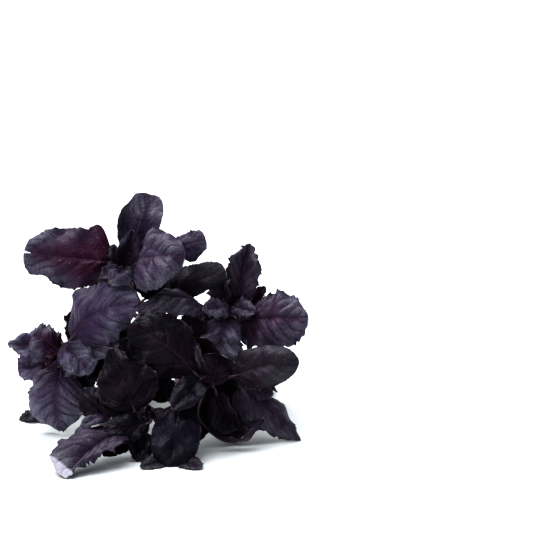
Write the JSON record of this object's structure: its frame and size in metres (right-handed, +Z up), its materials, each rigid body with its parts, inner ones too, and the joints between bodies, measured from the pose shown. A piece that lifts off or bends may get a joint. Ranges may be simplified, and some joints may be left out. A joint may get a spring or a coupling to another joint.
{
  "type": "purple basil bunch",
  "caption": "Loose bunch of cut purple basil tips with dark satin leaves, lying on its stems and lowest leaves.",
  "frame": {"origin": "middle of the bunch's base, on the surface that it lies on", "axes": "+Y from the leafy front towards the cut stem ends, +Z up"},
  "size_m": [0.1592, 0.192, 0.1251],
  "materials": {
    "basil": "satin leaf, dark purple with a grey lilac bloom"
  },
  "bodies": {
    "root": {"leafy_stem_top": "basil", "leafy_stem_right": "basil", "leafy_stem_left": "basil", "leafy_stem_front_right": "basil", "leafy_stem_front_left": "basil", "leafy_stem_middle": "basil"}
  },
  "joints": []
}
